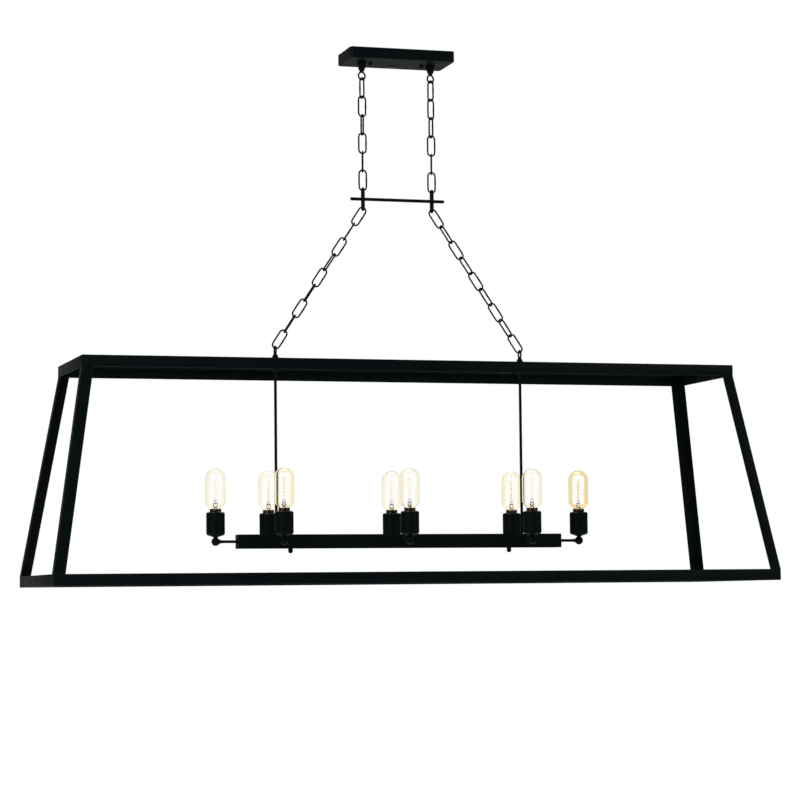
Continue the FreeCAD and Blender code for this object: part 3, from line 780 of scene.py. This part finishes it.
def cupShape():
    look = cupLook
    radius, wall, top, bottom = look["radius"], look["wall"], look["top"], look["bottom"]
    rim, bend, neck, curl = look["rimRound"], look["bottomRound"], look["neckRadius"], look["neckRound"]
    foot, bore, inner, edgeZ = look["neckFoot"], look["bore"], radius - wall, bottom + look["slope"]
    profile = [(bore, foot), (neck, foot), (neck, bottom - curl)]
    profile += arc((neck + curl, bottom - 1.5 * mm), curl, 170, 100, 5)
    profile += arc((radius - bend, edgeZ + bend), bend, -80, 0, 10) + [(radius, top - 6 * mm)]
    profile += arc((radius - rim, top - rim), rim, 0, 75, 5) + near(inner, top, (0.05, -0.1), (0, -0.5))
    profile += [(inner, edgeZ + bend), (inner - 3 * mm, edgeZ + wall + 1.2 * mm), (bore, bottom + wall),
                (bore, foot)]
    return turnedPiece(profile, lampSides)


def holderShape():
    look = holderLook
    edge, foot, contact = look["edge"], look["footEdge"], look["contactRadius"]
    radius = cupLook["radius"] - cupLook["wall"] - look["gap"]
    low = cupLook["top"] - look["height"]
    pocket = look["shellRadius"] + look["shellWall"]
    profile = [(0, low), (radius - foot, low), (radius, low + foot)]
    profile += arc((radius - edge, holderFace - edge), edge, 0, 90, 6)
    profile += near(pocket, holderFace, (0.5, 0), (0, -0.5))
    profile += [(pocket, capBottom), (contact, capBottom), (contact, contactZ), (0, contactZ)]
    return turnedPiece(profile, 64)


def shellShape():  # the screw shell of the holder, with the centre contact
    look = holderLook
    low = capBottom + 0.5 * mm
    top = holderFace - look["shellBelowFace"]
    inner = look["shellRadius"]
    outer = inner + look["shellWall"] - 0.05 * mm
    profile = [(inner - 2 * mm, low), (outer, low), (outer, top), (inner + 0.25 * mm, top)]
    profile += wallRows(inner, low + 0.5 * mm, top - 0.3 * mm, 0.6 * mm)[::-1]
    profile += near(inner, low, (-2, 0.5), (-2, 0))
    contact = near(0, contactZ, (0, 0), (3.9, 0), (3.9, 1.0), (3.4, 1.3), (0, 1.4))
    return joinPieces([turnedPiece(profile), turnedPiece(contact, 32)])


def glassShape():
    look = bulbLook
    start = capTop - look["neckDrop"]
    shoulder, domeZ = look["shoulder"], bulbTop - look["dome"]

    def envelope(inset):
        outer, neck = look["radius"] - inset, look["neckRadius"] - inset
        points = [(neck, start), (neck, capTop)]
        for k in range(1, look["shoulderSteps"] + 1):  # the shoulder swells from the neck to the full width
            share = k / look["shoulderSteps"]
            early, even = math.sin(share * math.pi / 2), share ** 2 * (3 - 2 * share)
            points.append((neck + (outer - neck) * (even + (early - even) * look["swell"]),
                           capTop + shoulder * share))
        points.append((outer, (capTop + shoulder + domeZ) / 2))
        for k in range(look["domeSteps"]):
            angle = math.pi / 2 * k / look["domeSteps"]
            points.append((outer * math.cos(angle), domeZ + (bulbTop - inset - domeZ) * math.sin(angle)))
        return points + [(0, bulbTop - inset)]

    lining = turnedPiece(envelope(look["wall"])[::-1], lampSides)
    jacket = turnedPiece(envelope(0), lampSides)
    cleanMesh(lining, inward=True)
    glass = joinPieces([jacket, lining])
    editPicked(glass, "EDGE", lambda middle, way: middle.z < start + nearby and abs(way.z) < acrossLimit,
               bpy.ops.mesh.bridge_edge_loops)
    return glass


def pressThread(obj, low, high, pitch, depth):  # a helical thread in a turned wall between two heights
    for vert in obj.data.vertices:
        x, y, z = vert.co
        if low < z < high:
            fade = min(1.0, (z - low) / pitch, (high - z) / pitch)
            wave = math.cos(2 * math.pi * z / pitch - math.atan2(y, x))
            vert.co -= Vector((x, y, 0)).normalized() * (depth * fade * (0.5 - 0.5 * wave))


def capShape():
    look = bulbLook
    radius, neck, threadTop = look["capRadius"], look["neckRadius"], capTop - 5.5 * mm
    profile = [(0, capFoot - 1.5 * mm), (look["tipRadius"] + 3 * mm, capFoot - 1.5 * mm)]
    profile += near(radius, capFoot, (-2.2, -0.8)) + wallRows(radius, capFoot, threadTop, 0.55 * mm)
    profile += near(radius, capTop, (0, -1.0), (-0.25, -0.3))
    profile += near(neck, capTop, (0.15, 0), (-0.6, -0.6), (-1.6, -1.4))
    cap = turnedPiece(profile + [(0, capTop - 1.4 * mm)], 64)
    pressThread(cap, capFoot + 0.2 * mm, threadTop - 0.5 * mm, holderLook["pitch"], look["threadDepth"])
    return cap


def capGlassShape():
    edge, flank, hip = near(bulbLook["capRadius"] - 2.3 * mm, capFoot, (0, -0.7), (-0.8, -1.6), (-1.2, -1.9))
    end = (bulbLook["tipRadius"], capBottom - 0.4 * mm)
    return turnedPiece([(0, capFoot), edge, flank] + bowed(hip, end, 0.5 * mm, 5) + [(0, end[1])], 40)


def solderShape():
    tip, bend = bulbLook["tipRadius"] - 0.3 * mm, bulbLook["tipRound"]
    return turnedPiece([(0, capBottom)] + near(tip, capBottom, (0, -0.2), (0, -0.8))
                       + arc((0, capBottom - bulbLook["tipHeight"] + bend), bend, -20, -90, 6), 32)


mountLook = lengths(  # the pressed top of the glass mount has half its width in pressHalf
    flareRadius=9.5, throatRadius=3.1, pressHeight=11.0, pressHalf=4.4, pressThick=1.5)
filamentLook = {
    **lengths(wireRadius=1.35, helixRadius=1.15, coreRadius=0.9, coreEnd=2.5, coreEdge=0.4, pitch=7.5,
              start=23.0),      # starts above the cap
    "turns": 6, "steps": 20,
}
leadLook = {
    **lengths(radius=0.75, spread=5.0, foot=2.2, footDrop=6.0, bendDrop=1.5, clamp=1.6, clampRise=3.2),
    "stayShare": 0.7, "tipShare": 0.45,
}


def mountShape():  # flared glass mount with its flat pressed top
    look = mountLook
    base = capTop - 1.0 * mm
    flare, throat, press = look["flareRadius"], look["throatRadius"], base + look["pressHeight"]
    profile = [(0, base + 1.2 * mm)] + near(flare, base, (-1, 0), (0, 0.4))
    profile += near(throat, base, (3.2, 1.9), (1.1, 3.8), (0, 6.6)) + near(throat, press, (0, 0), (-0.7, 1.2))
    mount = turnedPiece(profile + [(0, press + 1.6 * mm)], 40)
    squash = (look["pressHalf"] / throat, look["pressThick"] / throat, 1)
    editPicked(mount, "VERT", lambda co: co.z > press - 1 * mm, bpy.ops.transform.resize, value=squash,
               center_override=(0, 0, press))
    return mount


def filamentShape():  # a helix of round wire with closed ends
    look = filamentLook
    bpy.ops.mesh.primitive_circle_add(
        vertices=10, radius=look["wireRadius"], location=(look["helixRadius"], 0, capTop + look["start"]),
        rotation=(math.pi / 2, 0, 0))
    coil = bpy.context.object
    applyPlace(coil)
    applyModifier(coil, "SCREW", angle=2 * math.pi, screw_offset=look["pitch"], iterations=look["turns"],
                  steps=look["steps"], render_steps=look["steps"], use_normal_calculate=True)
    startEdit(coil)
    bpy.ops.mesh.select_mode(type="EDGE")
    bpy.ops.mesh.select_all(action="DESELECT")
    bpy.ops.mesh.select_non_manifold()
    bpy.ops.mesh.edge_face_add()
    endEdit()
    cleanMesh(coil)
    return coil


def coreShape():
    look = filamentLook
    low = capTop + look["start"] - look["coreEnd"]
    high = low + look["turns"] * look["pitch"] + 2 * look["coreEnd"]
    return turnedPiece(rodRows(look["coreRadius"], low, high, look["coreEdge"]), 24)


def wireBetween(start, end, radius):
    way = Vector(end) - Vector(start)
    return aimPiece(turnedPiece(rodRows(radius, 0, way.length, 0.3 * radius), 10), start, way)


def wiresShape():  # lead-in wires that part above the mount, their clamp, and the wire that holds the core
    look = leadLook
    radius, spread = look["radius"], look["spread"]
    pressTop = capTop + mountLook["pressHeight"] - 1 * mm
    bendZ, clampZ = pressTop - look["bendDrop"], pressTop + look["clampRise"]
    low = capTop + filamentLook["start"]
    wires = [wireBetween((0, 0, pressTop), (0, 0, low - 1 * mm), radius * look["stayShare"]),
             wireBetween((-spread, 0, clampZ), (spread, 0, clampZ), radius)]
    for side in (-1, 1):
        bend = (side * spread, 0, bendZ)
        wires += [
            wireBetween((side * look["foot"], 0, pressTop - look["footDrop"]), bend, radius),
            wireBetween(bend, (side * look["clamp"], 0, clampZ), radius),
            wireBetween((side * spread, 0, clampZ), (side * filamentLook["helixRadius"], 0, low),
                        radius * look["tipShare"])]
    return joinPieces(wires)


def buildLamps():
    shapes = [  # shape, piece name, body it rides on, slot, material, CAD node it stands for, angle kept sharp
        (cupShape(), "socketCup", "lamp", "black_paint", blackPaint, "socket_cup", 35),
        (holderShape(), "lampHolder", "lamp", "phenolic", phenolic, "lampholder", 35),
        (shellShape(), "holderShell", "lamp", "bulb_metal", brassWithPaintedShade, None, 40),
        (glassShape(), "bulbGlass", "bulb", "bulb_glass", bulbGlasses, "bulb_glass", 60),
        (capShape(), "bulbCap", "bulb", "bulb_metal", brassWithPaintedShade, "bulb_base", 40),
        (capGlassShape(), "capInsulator", "bulb", "phenolic", capGlass, None, 35),
        (solderShape(), "capTip", "bulb", "bulb_metal", solder, None, 35),
        (mountShape(), "glassMount", "bulb", "bulb_glass", stemGlass, None, 50),
        (wiresShape(), "bulbWires", "bulb", "bulb_metal", nickelWire, None, 50),
        (coreShape(), "filamentCore", "bulb", "bulb_glass", cores, None, 35),
        (filamentShape(), "filament", "bulb", "bulb_metal", filaments, None, 50),
    ]
    for name, centre, out in lamps:
        for shape, title, body, slotName, material, node, degrees in shapes:
            finish = material[lampTints.get(name, "amber")] if isinstance(material, dict) else material
            finishPiece(putPiece(copyPiece(shape), centre), title + "_" + name, body + "_" + name,
                        finish, [node + "_" + name] if node else [], degrees)
    for entry in shapes:
        removePiece(entry[0])


buildLamps()
print("lamps made:", len(lamps))


# chains, hanging loops and spreader

chainLook = {
    **lengths(wire=4.0, linkWidth=21.5, play=0.3, weldHalf=1.3),
    "upperLinks": 6,
    "weldSwell": 1.14, "weldReach": 1.2, "weldRows": (-1.8, -1.0, 0.0, 1.0, 1.8),    # butt weld on one leg
    "turnsRound": 24, "sides": 14,
}
linkTurns = {  # how far each link is turned about its chain, from the top down, in degrees
    "upper_chain_left": [105, 5, 90, 0, 76, 0],
    "upper_chain_right": [-65, 25, -80, 2, 74, 0],
    "lower_chain_left": [0, 80, 0, 98, 0, 90, 0, 74, 0],
    "lower_chain_right": [0, -84, 0, -74, 0, -74, 0, -74, 0],
}
yokeLook = lengths(wire=5.5, opening=44.5, width=7.8, rodEdge=1.25)
loopLook = {
    **lengths(height=42.0, bellHeight=24.0, bellRadius=11.0, rim=5.0, neckRadius=3.5, bulge=1.1,
              shankRadius=4.75, threadPitch=1.0, threadDepth=0.35),
    "canopyTurns": (15, 20),
}
upperLow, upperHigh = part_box("upper_chain_right")
yokesLow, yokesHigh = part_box("spreader_yokes")
loopsLow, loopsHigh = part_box("frame_loops")
linkPitch = (upperHigh.z - upperLow.z - chainLook["play"] - 2 * chainLook["wire"]) / chainLook["upperLinks"]
upperX = yokesHigh.x - yokeLook["wire"] / 2
loopX = (loopsHigh.x - loopsLow.x) / 2 - loopLook["bellRadius"]


def oblongRing(openingLength, openingWidth, wire, turnsRound, sides):
    straight = openingLength - openingWidth
    bpy.ops.mesh.primitive_torus_add(
        major_segments=turnsRound, minor_segments=sides, major_radius=(openingWidth + wire) / 2,
        minor_radius=wire / 2, rotation=(math.pi / 2, math.pi / turnsRound, 0))
    ring = bpy.context.object
    applyPlace(ring)
    if straight > 0:
        for end in (-1, 1):
            moveVerts(ring, lambda co: co.z * end > 0, (0, 0, end * straight / 2))
    return ring


def linkShape():
    look = chainLook
    opening = look["linkWidth"] - 2 * look["wire"]
    link = oblongRing(linkPitch + look["play"], opening, look["wire"], look["turnsRound"], look["sides"])
    startEdit(link)
    for row in look["weldRows"]:
        bpy.ops.mesh.select_all(action="SELECT")
        bpy.ops.mesh.bisect(plane_co=(0, 0, row * look["weldHalf"]), plane_no=zAxis)
    endEdit()
    editPicked(link, "VERT", lambda co: abs(co.z) < look["weldReach"] * look["weldHalf"] and co.x > 0,
               bpy.ops.transform.resize, value=(look["weldSwell"], look["weldSwell"], 1),
               center_override=((opening + look["wire"]) / 2, 0, 0))
    applyModifier(link, "SUBSURF", levels=1, render_levels=1)
    return link


def hangLinks(link, name, body, first, down, lean=0.0):  # from the place of the first link's centre on
    links = [putPiece(copyPiece(link), first + down * k * linkPitch, math.radians(turn), lean)
             for k, turn in enumerate(linkTurns[name])]
    finishPainted(links, name, body, blackChainPaint)


def buildChains():
    link = linkShape()
    play, wire = chainLook["play"], chainLook["wire"]
    upperZ = upperHigh.z - (linkPitch + play) / 2 - wire
    pinZ = yokesLow.z + yokeLook["wire"] / 2
    lean = math.atan2(loopX - upperX, pinZ - loopsHigh.z + wire / 2)
    reach = (linkPitch + play) / 2 - yokeLook["wire"] / 2 - play
    for side, name in ((-1, "upper_chain_left"), (1, "upper_chain_right")):
        hangLinks(link, name, "upper_hanger", Vector((side * upperX, 0, upperZ)), -zAxis)
    for side, name in ((-1, "lower_chain_left"), (1, "lower_chain_right")):
        down = Vector((side * math.sin(lean), 0, -math.cos(lean)))
        pin = Vector((side * upperX, 0, pinZ))
        hangLinks(link, name, "lower_chains", pin + down * reach, down, -side * lean)
    removePiece(link)


def buildSpreader():
    low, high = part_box("spreader_rod")
    edge, half = yokeLook["rodEdge"], high.x
    shoulder = (high.z - low.z) / 2 - edge
    rod = turnedPiece([(0, -half)] + arc((shoulder, -half + edge), edge, -90, 0, 5)
                      + arc((shoulder, half - edge), edge, 0, 90, 5) + [(0, half)], 36)
    aimPiece(rod, (0, 0, (low.z + high.z) / 2), xAxis)
    finishPainted([rod], "spreader_rod", "upper_hanger", blackChainPaint)
    yoke = oblongRing(yokeLook["opening"], yokeLook["width"], yokeLook["wire"], 32, 16)
    middle = (yokesLow.z + yokesHigh.z) / 2
    yokes = putCopies(yoke, [(x, 0, middle) for x in (-upperX, upperX)], math.pi / 2)
    finishPainted(yokes, "spreader_yokes", "upper_hanger", blackChainPaint)


def loopShape(shankLength):  # a ring on a bell that stands on z = 0, its shank below
    look = loopLook
    radius, shank, neck = look["bellRadius"], look["shankRadius"], look["neckRadius"]
    rim, top, pitch = look["rim"], look["bellHeight"], look["threadPitch"]
    profile = [(0, -shankLength), (shank - 0.5 * mm, -shankLength)]
    profile += ringThread(shank, shank - look["threadDepth"], -shankLength + pitch / 2, pitch,
                          int(shankLength / pitch) - 1)
    profile += near(shank, 0, (0, -0.3), (0, 0)) + near(radius, 0, (-0.4, 0), (0, 0.4))
    profile += near(radius, rim, (0, -1.0), (-0.5, 0), (-1.0, 0.3))
    profile += bowed((radius - 1.2 * mm, rim + 0.8 * mm), (neck, top - 0.8 * mm), look["bulge"], 10)[1:]
    bell = turnedPiece(profile + [(neck - 0.7 * mm, top), (0, top)])
    opening = chainLook["linkWidth"] - 2 * chainLook["wire"]
    eye = oblongRing(opening, opening, chainLook["wire"], 40, 16)
    combine(bell, putPiece(eye, (0, 0, look["height"] - chainLook["linkWidth"] / 2)), "UNION")
    return bell


def buildLoops():
    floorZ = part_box("canopy_cover")[0].z
    loop = loopShape(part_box("canopy_loops")[1].z - floorZ)
    loop.matrix_world = Matrix.Rotation(math.pi, 4, "X")
    applyPlace(loop)
    loops = [putPiece(copyPiece(loop), (x, 0, floorZ), math.radians(turn))
             for x, turn in zip((-upperX, upperX), loopLook["canopyTurns"])]
    removePiece(loop)
    finishPainted(loops, "canopy_loops", "canopy", blackChainPaint)
    loop = loopShape(topHigh.z - loopsLow.z)
    loops = putCopies(loop, [(x, 0, topHigh.z) for x in (-loopX, loopX)], math.pi / 2)
    finishPainted(loops, "frame_loops", material=blackChainPaint)


buildChains()
buildSpreader()
buildLoops()
print("chains and loops made")


# canopy

canopyLook = {"corner": (8.0 * mm, 8), "rim": (2.4 * mm, 5), **lengths(sheet=1.2, hole=6.9, drill=20.0)}
bushingLook = lengths(bore=5.0, wall=1.8, flange=10.0, flangeRound=1.4, barb=1.4)
screwLook = lengths(nutRadius=4.0, nutHeight=7.0, dome=2.8, studRadius=2.0, threadPitch=0.7, threadDepth=0.25)


def buildCanopy():
    look = canopyLook
    low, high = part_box("canopy_cover")
    bushLow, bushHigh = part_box("cable_bushing")
    middle = (bushLow + bushHigh) / 2
    cover = addCube(low, high)
    bevelAlong(cover, zAxis, *look["corner"])
    bevelPicked(cover, "EDGE", lambda middle, way: abs(middle.z - low.z) < nearby and abs(way.z) < acrossLimit,
                *look["rim"])
    editPicked(cover, "FACE", lambda centre, normal: normal.z > facingLimit, bpy.ops.mesh.delete, type="FACE")
    applyModifier(cover, "SOLIDIFY", thickness=look["sheet"], offset=-1)
    combine(cover, addCylinder(look["hole"], look["drill"], (middle.x, middle.y, low.z), 48))
    finishPainted([cover], "canopy_cover", "canopy")
    buildBushing(middle, low.z, bushLow.z, bushHigh.z)


def buildBushing(middle, floorZ, low, high):
    look = bushingLook
    bore, flange, bend, barb = look["bore"], look["flange"], look["flangeRound"], look["barb"]
    outer = bore + look["wall"]
    profile = [(bore, low + 0.6 * mm), (bore + 0.6 * mm, low)]
    profile += arc((flange - bend, low + bend), bend, -90, 0, 6)
    profile += [(flange, floorZ), (outer, floorZ), (outer, floorZ + barb - 0.1 * mm),
                (outer + barb, floorZ + barb)]
    profile += near(outer, high, (0, -0.6), (-0.5, 0)) + near(bore, high, (0.3, 0), (0, -0.4)) + profile[:1]
    bushing = putPiece(turnedPiece(profile), (middle.x, middle.y, 0))
    finishPiece(bushing, "cableBushing", "canopy", blackNylon, ["cable_bushing"])


def buildCanopyScrews():
    look = screwLook
    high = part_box("canopy_screws")[1]
    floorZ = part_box("canopy_cover")[0].z
    nut = putPiece(domedNut(look["nutRadius"], look["nutHeight"], look["dome"], 32), (0, 0, floorZ))
    radius, pitch, start = look["studRadius"], look["threadPitch"], floorZ - 0.5 * mm
    turns = math.ceil((high.z - 1.0 * mm - start) / pitch)
    profile = [(0, start)] + ringThread(radius - look["threadDepth"], radius, start, pitch, turns)
    profile += [(radius - 0.4 * mm, high.z), (0, high.z)]
    screw = joinPieces([nut, turnedPiece(profile, 24)])
    screwX = high.x - look["nutRadius"]
    finishPainted(putCopies(screw, [(x, 0, 0) for x in (-screwX, screwX)]), "canopy_screws", "canopy")


buildCanopy()
buildCanopyScrews()
print("canopy made")


# CAD solids that stay, each with its finish

keptNodes = {"mounting_strap": zincPlate, "loop_nuts": zincPlate, "bar_cover": blackPaint}
for nodeName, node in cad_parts.items():  # hidden solids carry the paint too
    node.data.materials.clear()
    node.data.materials.append(keptNodes.get(nodeName, blackPaint))
print("finishes set on the solids that stay:", len(keptNodes))


# floor, light and camera

stageLook = {
    "floorZ": -2.45,        # a usual ceiling height below the canopy
    "floorSize": 11.0,
    "floorColor": (0.86, 0.86, 0.85, 1), "floorDrift": (0.90, 0.90, 0.89, 1),
    "floorRoughness": 0.8,
    "floorGlow": 0.72,
    "floorInMetal": 0.10,   # share of the floor's glow that mirror rays see
    "skyLight": 0.60,
    "skyInMetal": 0.30,     # share of the white sky that mirror rays see
}
lampLook = [  # place, size, power, colour
    ((-3.2, -2.6, 0.9), 2.4, 120.0, (1.0, 0.98, 0.96)),
    ((3.4, -3.2, 0.4), 2.6, 45.0, (0.97, 0.98, 1.0)),
    ((0.0, 0.8, 2.2), 3.0, 90.0, (1.0, 1.0, 1.0)),
]
cameraLook = {
    "place": (-1.78304, -5.90835, -1.26495),
    "yaw": 0.29327, "pitch": 0.07428, "roll": -0.01039,     # radians, yaw from +Y towards +X
    "focalPixels": 2694.1, "framePixels": 800.0,
    "sensor": 36.0,
    "farEnd": 60.0,
}


def shownRays(tree, glossyShare):  # 1 where a camera or glass ray meets the background, less for a mirror ray
    path = addNode(tree, "LightPath").outputs
    seen = calc(tree, "MAXIMUM", path["Is Camera Ray"], path["Is Transmission Ray"])
    return calc(tree, "MAXIMUM", seen, calc(tree, "MULTIPLY", path["Is Glossy Ray"], glossyShare))


def buildFloor():
    look = stageLook
    bpy.ops.mesh.primitive_circle_add(vertices=96, radius=look["floorSize"] / 2, fill_type="NGON",
                                      location=(0, 0, look["floorZ"]))
    floor = bpy.context.object
    floor.name = "studioFloor"
    applyPlace(floor)
    material, tree, shader = newMaterial("paleFloor")
    tone = noise(tree, objectPlace(tree), 3.0)
    feed(tree, shader, {
        "Base Color": mixColors(tree, tone, look["floorColor"], look["floorDrift"]),
        "Roughness": look["floorRoughness"], "Emission Color": (1, 1, 1, 1),
        "Emission Strength": calc(tree, "MULTIPLY", shownRays(tree, look["floorInMetal"]), look["floorGlow"])})
    oneSided = addNode(tree, "MixShader", {  # clear from underneath, so the lamp shows from below
        0: addNode(tree, "NewGeometry").outputs["Backfacing"], 1: shader.outputs["BSDF"],
        2: addNode(tree, "BsdfTransparent").outputs["BSDF"]})
    feed(tree, tree.nodes["Material Output"], {"Surface": oneSided.outputs["Shader"]})
    floor.data.materials.append(material)


def buildWorld():
    world = bpy.data.worlds.new("paleStudio")
    world.use_nodes = True
    tree = world.node_tree
    bounced = addNode(tree, "LightPath").outputs["Is Diffuse Ray"]
    strength = calc(tree, "MAXIMUM", calc(tree, "MULTIPLY", bounced, stageLook["skyLight"]),
                    shownRays(tree, stageLook["skyInMetal"]))
    feed(tree, tree.nodes["Background"], {"Color": (1, 1, 1, 1), "Strength": strength})
    bpy.context.scene.world = world


def addToScene(name, data):
    obj = bpy.data.objects.new(name, data)
    bpy.context.scene.collection.objects.link(obj)
    return obj


def buildLights():
    target = Vector((0, 0, barZ))
    for index, (place, size, power, color) in enumerate(lampLook):
        light = bpy.data.lights.new("softbox" + str(index + 1), "AREA")
        light.shape = "DISK"
        light.size = size
        light.energy = power
        light.color = color
        obj = addToScene(light.name, light)
        obj.location = place
        obj.rotation_euler = (target - Vector(place)).to_track_quat("-Z", "Y").to_euler()


def buildCamera():
    look = cameraLook
    camera = bpy.data.cameras.new("photoCamera")
    camera.sensor_width = look["sensor"]
    camera.lens = look["focalPixels"] / look["framePixels"] * look["sensor"]
    camera.clip_end = look["farEnd"]
    obj = addToScene("photoCamera", camera)
    obj.matrix_world = (Matrix.Translation(look["place"]) @ Matrix.Rotation(-look["yaw"], 4, "Z")
                        @ Matrix.Rotation(math.pi / 2 + look["pitch"], 4, "X")
                        @ Matrix.Rotation(look["roll"], 4, "Z"))
    bpy.context.scene.camera = obj


buildFloor()
buildWorld()
buildLights()
buildCamera()
bpy.context.scene.view_settings.view_transform = "Standard"
print("stage, light and camera set")
